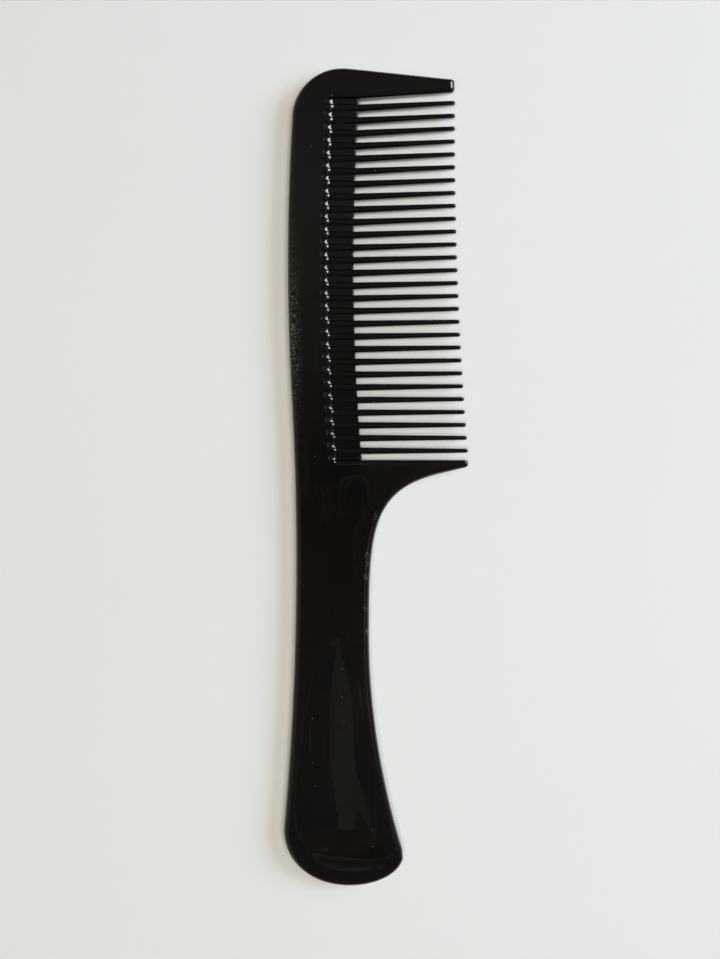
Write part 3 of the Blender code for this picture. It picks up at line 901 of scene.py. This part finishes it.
def make_tooth(number, material):
    """A tooth grows out of its rib and ends in a soft point. It leans more near the tip end."""
    y = ROW_LENGTH - GAP - TOOTH_ROOT_WIDTH / 2 - (number - 1) * TOOTH_PITCH
    share = y / ROW_LENGTH
    reach = HEEL_TOOTH_REACH - REACH_LOSS * share**2 + PARTING
    lean = TOOTH_LEAN * share
    root = np.array((root_x(y), y))
    along = np.array((math.cos(lean), math.sin(lean)))
    across = np.array((-along[1], along[0]))
    turns = np.arange(TOOTH_SIDES) * 2 * math.pi / TOOTH_SIDES
    verts = []
    sections = tooth_sections(reach)
    for distance, wide, thick in sections[:-1]:
        for turn in turns:
            side, up = section_point(turn)
            if distance > 0:
                flat = root + along * distance + across * wide * side
            else:  # inside the rib a tooth doesn't lean
                flat = root + np.array((distance, wide * side))
            verts.append((*(flat + SHIFT), MIDDLE_Z + thick * up))
    rows = len(sections) - 1
    faces = []
    for row in range(rows - 1):
        for side in range(TOOTH_SIDES):
            following = (side + 1) % TOOTH_SIDES
            a, b = row * TOOTH_SIDES + side, row * TOOTH_SIDES + following
            faces.append((a, b, b + TOOTH_SIDES, a + TOOTH_SIDES))
    faces.append(tuple(reversed(range(TOOTH_SIDES))))
    tip = root + along * sections[-1][0] + SHIFT
    verts.append((*tip, MIDDLE_Z))
    last = (rows - 1) * TOOTH_SIDES
    for side in range(TOOTH_SIDES):
        faces.append((last + side, last + (side + 1) % TOOTH_SIDES, len(verts) - 1))
    name = f"tooth_{number:02d}"
    mesh = bpy.data.meshes.new(name)
    mesh.from_pydata(verts, [], faces)
    mesh.shade_smooth()
    mesh.set_sharp_from_angle(angle=TOOTH_CREASE)
    place(name, mesh, material)


# ---- Materials ----

PLASTIC_IOR = 1.53
PLASTIC_BLACK = "#0A0908"
PLASTIC_CLOUD = "#0E0D0B"
CLOUD_SIZE = 14 * MM
HAZE_SIZE = 3 * MM
HAZE_RISE = 0.05
HAZE_RANGE = (0.35, 0.75)  # of the noise
# The scratch pattern also breaks the painted highlights on the grip's front rim into strokes.
SCUFF_AND_GLINT_SIZE = 0.30 * MM  # real scuffs are finer still, and would be lost at this distance
SCUFF_AND_GLINT_RANGE = (0.55, 0.68)  # of the noise
DUST_SPACING = 8 * MM
DUST_RADIUS = 0.12 * MM  # a grain is drawn about twice its real size, so that it shows at all
DUST_CORE_SHARE = 0.4  # of the radius, where a grain is at its full strength
DUST_SHARE = 0.17  # of the grid's cells that hold a grain
DUST_STRENGTH = 0.5
# Light grey of the dust, of the scuffs and of the painted highlights along the grip's front rim.
MARK_COLOUR = "#A9A69F"
MARK_ROUGHNESS = 0.5
CARD_SHADE = "#E6E6E3"
CARD_LIGHT = "#E9E9E6"
CARD_CLOUD_SIZE = 111 * MM
CARD_ROUGHNESS = 0.85


def linear(colour):
    """A colour written as sRGB hex, as the linear values that a shader takes."""
    levels = [int(colour[k : k + 2], 16) / 255 for k in (1, 3, 5)]
    return [v / 12.92 if v <= 0.04045 else ((v + 0.055) / 1.055) ** 2.4 for v in levels]


def add(tree, kind, settings=None, **links):
    """Adds a node with its own settings, and gives each input a socket to link to or a value.

    An input is named with _ for its spaces, or numbered as _0, _1 and so on.
    """
    node = tree.nodes.new(kind)
    for name, value in (settings or {}).items():
        setattr(node, name, value)
    for name, value in links.items():
        key = int(name[1:]) if name[0] == "_" else name.replace("_", " ")
        if isinstance(value, bpy.types.NodeSocket):
            tree.links.new(value, node.inputs[key])
        else:
            node.inputs[key].default_value = value
    return node


def moulded_plastic(name, roughness):
    """High gloss polystyrene, moulded in a polished tool and then handled.

    The eye sees mirror-like black with a faint cloudiness, and up close a few grains of dust and,
    along the edges, fine grey scuffs that no longer shine. Along the grip's front edge the same
    grey marks are painted highlights where the rim glints.
    """
    material = bpy.data.materials.new(name)
    material.use_nodes = True
    tree = material.node_tree
    tree.nodes.clear()
    where = add(tree, "ShaderNodeTexCoord").outputs["Object"]
    cloud = add(tree, "ShaderNodeTexNoise", Vector=where, Scale=1 / CLOUD_SIZE, Detail=3.0)
    base = add(tree, "ShaderNodeMix", {"data_type": "RGBA"}, _0=cloud.outputs["Fac"])
    base.inputs["A"].default_value = (*linear(PLASTIC_BLACK), 1)
    base.inputs["B"].default_value = (*linear(PLASTIC_CLOUD), 1)

    grains = add(
        tree,
        "ShaderNodeTexVoronoi",
        {"voronoi_dimensions": "2D"},
        Vector=where,
        Scale=1 / DUST_SPACING,
    )
    near = add(
        tree,
        "ShaderNodeMapRange",
        Value=grains.outputs["Distance"],
        From_Min=DUST_RADIUS / DUST_SPACING,
        From_Max=DUST_CORE_SHARE * DUST_RADIUS / DUST_SPACING,
    )
    chance = add(tree, "ShaderNodeSeparateColor", Color=grains.outputs["Color"])
    chosen = {"operation": "GREATER_THAN"}
    kept = add(tree, "ShaderNodeMath", chosen, _0=chance.outputs[0], _1=1 - DUST_SHARE)
    times = {"operation": "MULTIPLY"}
    grain = add(tree, "ShaderNodeMath", times, _0=near.outputs[0], _1=kept.outputs[0])
    dust = add(tree, "ShaderNodeMath", times, _0=grain.outputs[0], _1=DUST_STRENGTH)

    scratch_and_glint_noise = add(
        tree,
        "ShaderNodeTexNoise",
        Vector=where,
        Scale=1 / SCUFF_AND_GLINT_SIZE,
        Detail=4.0,
        Roughness=0.7,
    )
    wear_and_glint_amount = add(
        tree,
        "ShaderNodeMapRange",
        Value=scratch_and_glint_noise.outputs["Fac"],
        From_Min=SCUFF_AND_GLINT_RANGE[0],
        From_Max=SCUFF_AND_GLINT_RANGE[1],
    )
    wear_and_glint_level = add(tree, "ShaderNodeAttribute", {"attribute_name": "wear_and_glint_map"})
    # Mask of wear along the edges and of painted highlights on the grip's front rim.
    scuff_and_glint_mask = add(tree, "ShaderNodeMath", times, _0=wear_and_glint_amount.outputs[0], _1=wear_and_glint_level.outputs["Fac"])

    either = {"operation": "MAXIMUM"}
    marks = add(tree, "ShaderNodeMath", either, _0=dust.outputs[0], _1=scuff_and_glint_mask.outputs[0])
    colour = add(tree, "ShaderNodeMix", {"data_type": "RGBA"}, _0=marks.outputs[0])
    tree.links.new(base.outputs["Result"], colour.inputs["A"])
    colour.inputs["B"].default_value = (*linear(MARK_COLOUR), 1)

    haze = add(
        tree,
        "ShaderNodeTexNoise",
        Vector=where,
        Scale=1 / HAZE_SIZE,
        Detail=5.0,
        Roughness=0.6,
    )
    gloss = add(
        tree,
        "ShaderNodeMapRange",
        Value=haze.outputs["Fac"],
        From_Min=HAZE_RANGE[0],
        From_Max=HAZE_RANGE[1],
        To_Min=roughness,
        To_Max=roughness + HAZE_RISE,
    )
    matt = add(
        tree,
        "ShaderNodeMapRange",
        Value=marks.outputs[0],
        To_Min=gloss.outputs[0],
        To_Max=MARK_ROUGHNESS,
    )
    shader = add(
        tree,
        "ShaderNodeBsdfPrincipled",
        Base_Color=colour.outputs["Result"],
        Roughness=matt.outputs[0],
        IOR=PLASTIC_IOR,
    )
    add(tree, "ShaderNodeOutputMaterial", Surface=shader.outputs["BSDF"])
    return material


def matt_card():
    """Coated card, rolled smooth: an even pale ground without shine, faintly cloudy across."""
    material = bpy.data.materials.new("matt_card_coated")
    material.use_nodes = True
    tree = material.node_tree
    tree.nodes.clear()
    where = add(tree, "ShaderNodeTexCoord").outputs["Object"]
    cloud = add(tree, "ShaderNodeTexNoise", Vector=where, Scale=1 / CARD_CLOUD_SIZE, Detail=2.0)
    colour = add(tree, "ShaderNodeMix", {"data_type": "RGBA"}, _0=cloud.outputs["Fac"])
    colour.inputs["A"].default_value = (*linear(CARD_SHADE), 1)
    colour.inputs["B"].default_value = (*linear(CARD_LIGHT), 1)
    shader = add(
        tree,
        "ShaderNodeBsdfPrincipled",
        Base_Color=colour.outputs["Result"],
        Roughness=CARD_ROUGHNESS,
    )
    add(tree, "ShaderNodeOutputMaterial", Surface=shader.outputs["BSDF"])
    return material


# ---- Studio ----

NEUTRAL = (1.0, 0.99, 0.97)
WARM = (1.0, 0.935, 0.845)
COOL = (0.82, 1.08, 1.31)
SOFT_GREEN = (1.0, 0.97, 0.80)
LIGHT_DISTANCE = 1.6
LIGHTS = (  # name, azimuth and zenith in degrees, size in metres, radiance, colour, mirrored
    ("overhead_strip", -60, 6, (0.6, 1.2), 9.2, WARM, False),
    ("side_fill", 12, 58, (0.9, 0.9), 5.5, COOL, False),
    ("side_box", -4, 32, (0.45, 0.5), 0.45, NEUTRAL, True),
    ("window", 34, 50, (0.85, 0.85), 13.0, NEUTRAL, True),
    ("low_strip", 267.3, 14.9, (0.235, 0.06), 0.115, SOFT_GREEN, True),
)
WORLD_STRENGTH = 1.45
WORLD_SIDES = (1.15, 0.85)  # shares of it on the back's side and on the teeth's side
WORLD_SIDES_REACH = 0.6  # by the X part of the direction
BACK_SIDE_TINT = (1.0, 0.98, 0.95)
BACK_SIDE_RANGE = (-0.36, -0.60)  # by the X part of the direction
WORLD_ENDS = (  # by the Y part of the direction
    (-1.0, (0.38, 0.33, 0.31)),
    (-0.27, (0.42, 0.36, 0.34)),
    (-0.18, (0.54, 0.40, 0.36)),
    (-0.06, (0.55, 0.41, 0.36)),
    (0.0, (0.53, 0.44, 0.40)),
    (0.06, (0.74, 0.70, 0.66)),
    (0.16, (1.06, 1.05, 1.03)),
    (0.22, (1.02, 1.02, 1.01)),
    (0.35, (0.58, 0.58, 0.58)),
    (0.60, (0.30, 0.30, 0.32)),
    (1.0, (0.30, 0.30, 0.32)),
)
WORLD_LEVELS = (  # degrees from straight overhead, level, colour
    (0.0, 0.02, (1.0, 0.85, 0.70)),
    (3.0, 0.055, (1.0, 0.72, 0.50)),
    (9.0, 0.108, (1.0, 0.86, 0.70)),
    (12.5, 0.122, (1.0, 0.93, 0.84)),
    (17.0, 0.102, (1.0, 0.97, 0.90)),
    (24.0, 0.14, (1.0, 0.96, 0.90)),
    (40.0, 0.21, (1.0, 0.96, 0.94)),
    (65.0, 0.18, (1.0, 0.96, 0.94)),
    (90.0, 0.18, (1.0, 0.97, 0.95)),
)

CAMERA_HEIGHT = 345 * MM  # over the comb's mid-plane
CAMERA_PLACE = (-4.26 * MM, -0.62 * MM)
CAMERA_LENS = 48.8  # in millimetres, as the sensor's width is
CAMERA_SENSOR = 36
CAMERA_CLIP = 10 * MM
FLOOR_REACH = 6.0


def area_light(name, azimuth, zenith, size, radiance, colour, mirrored):
    """A soft box over the comb, which either shows as an image in the gloss or lights the scene.

    Azimuth 0 is +X and counts towards +Y.
    """
    turn, tilt = math.radians(azimuth), math.radians(zenith)
    light = bpy.data.lights.new(name, "AREA")
    light.shape = "RECTANGLE"
    light.size, light.size_y = size
    light.energy = radiance * math.pi * size[0] * size[1]
    light.color = colour
    item = bpy.data.objects.new(name, light)
    item.location = LIGHT_DISTANCE * Vector(
        (math.sin(tilt) * math.cos(turn), math.sin(tilt) * math.sin(turn), math.cos(tilt))
    )
    item.rotation_euler = (0, tilt, turn)
    item.visible_camera = False
    item.visible_glossy = mirrored
    item.visible_diffuse = not mirrored
    bpy.context.scene.collection.objects.link(item)


def make_world():
    """What the gloss mirrors: a plain room, dark overhead, and lighter lower down and past the tip.

    It shows in reflections and lights nothing else.
    """
    world = bpy.data.worlds.new("studio")
    bpy.context.scene.world = world
    world.cycles_visibility.diffuse = False
    world.use_nodes = True
    tree = world.node_tree
    tree.nodes.clear()
    way = add(tree, "ShaderNodeTexCoord").outputs["Generated"]
    parts = add(tree, "ShaderNodeSeparateXYZ", Vector=way)
    angle = add(tree, "ShaderNodeMath", {"operation": "ARCCOSINE"}, _0=parts.outputs["Z"])
    by_quarter = {"operation": "DIVIDE"}
    share = add(tree, "ShaderNodeMath", by_quarter, _0=angle.outputs[0], _1=math.pi / 2)
    levels = add(tree, "ShaderNodeValToRGB", Fac=share.outputs[0])
    dimmed = [(tilt / 90, [level * c for c in colour]) for tilt, level, colour in WORLD_LEVELS]
    fill_ramp(levels, dimmed)
    sides = add(
        tree,
        "ShaderNodeMapRange",
        {"interpolation_type": "SMOOTHSTEP"},
        Value=parts.outputs["X"],
        From_Min=-WORLD_SIDES_REACH,
        From_Max=WORLD_SIDES_REACH,
        To_Min=WORLD_SIDES[0],
        To_Max=WORLD_SIDES[1],
    )
    along = add(tree, "ShaderNodeMapRange", Value=parts.outputs["Y"], From_Min=-1.0, From_Max=1.0)
    ends = add(tree, "ShaderNodeValToRGB", Fac=along.outputs[0])
    fill_ramp(ends, [((y + 1) / 2, colour) for y, colour in WORLD_ENDS])
    to_back = add(
        tree,
        "ShaderNodeMapRange",
        {"interpolation_type": "SMOOTHSTEP"},
        Value=parts.outputs["X"],
        From_Min=BACK_SIDE_RANGE[0],
        From_Max=BACK_SIDE_RANGE[1],
    )
    tint = add(tree, "ShaderNodeMix", {"data_type": "RGBA"}, _0=to_back.outputs[0])
    tree.links.new(ends.outputs["Color"], tint.inputs["A"])
    tint.inputs["B"].default_value = (*BACK_SIDE_TINT, 1)
    tinted = add(tree, "ShaderNodeMix", {"data_type": "RGBA", "blend_type": "MULTIPLY"}, _0=1.0)
    tree.links.new(levels.outputs["Color"], tinted.inputs["A"])
    tree.links.new(tint.outputs["Result"], tinted.inputs["B"])
    times = {"operation": "MULTIPLY"}
    strength = add(tree, "ShaderNodeMath", times, _0=sides.outputs[0], _1=WORLD_STRENGTH)
    background = add(tree, "ShaderNodeBackground", Strength=strength.outputs[0])
    tree.links.new(tinted.outputs["Result"], background.inputs["Color"])
    add(tree, "ShaderNodeOutputWorld", Surface=background.outputs["Background"])


def fill_ramp(node, stops):
    """Gives a colour ramp these (position, colour) stops."""
    elements = node.color_ramp.elements
    elements[0].position, elements[1].position = stops[0][0], stops[-1][0]
    for position, _ in stops[1:-1]:
        elements.new(position)
    for element, (_, colour) in zip(elements, stops):
        element.color = (*colour, 1)


def make_camera():
    data = bpy.data.cameras.new("camera")
    data.lens = CAMERA_LENS
    data.sensor_width = CAMERA_SENSOR
    data.clip_start = CAMERA_CLIP
    camera = bpy.data.objects.new("camera", data)
    camera.location = (*CAMERA_PLACE, MIDDLE_Z + CAMERA_HEIGHT)
    bpy.context.scene.collection.objects.link(camera)
    bpy.context.scene.camera = camera


def make_floor():
    mesh = bpy.data.meshes.new("floor")
    ends = (-FLOOR_REACH, FLOOR_REACH)
    mesh.from_pydata([(x, y, 0) for y in ends for x in ends], [], [(0, 1, 3, 2)])
    mesh.materials.append(matt_card())
    floor = bpy.data.objects.new("floor", mesh)
    bpy.context.scene.collection.objects.link(floor)


def main():
    finishes = {
        "back": moulded_plastic("polystyrene_polished_back", 0.06),
        "handle": moulded_plastic("polystyrene_polished_grip", 0.05),
        "tip": moulded_plastic("polystyrene_polished_guard", 0.06),
        "tooth": moulded_plastic("polystyrene_polished_teeth", 0.08),
    }
    finishes["heel"] = finishes["tip"]
    plan, faces, middle = skin_plan()
    on_rim = np.abs(line_distance(plan[:, 0], plan[:, 1], RIM, REACH_LIMIT)) < ON_LINE
    normals, height = skin_normals(plan[:, 0], plan[:, 1])
    # Wear along the edges, and painted highlights along the grip's front rim.
    wear_and_glint_amount = wear_and_glint_map_of(plan[:, 0], plan[:, 1])
    owner = piece_of(middle[:, 0], middle[:, 1])
    for name in ("back_spine", "handle", "tip_guard_tooth", "heel_guard_tooth"):
        finish = finishes[name.split("_")[0]]
        make_piece(name, plan, height, normals, on_rim, wear_and_glint_amount, faces[owner == name], finish)
    for number in range(1, TOOTH_COUNT + 1):
        make_tooth(number, finishes["tooth"])
    make_world()
    for light in LIGHTS:
        area_light(*light)
    make_camera()
    make_floor()
    scene = bpy.context.scene
    scene.view_settings.view_transform = "Standard"
    scene.view_settings.look = "None"


main()
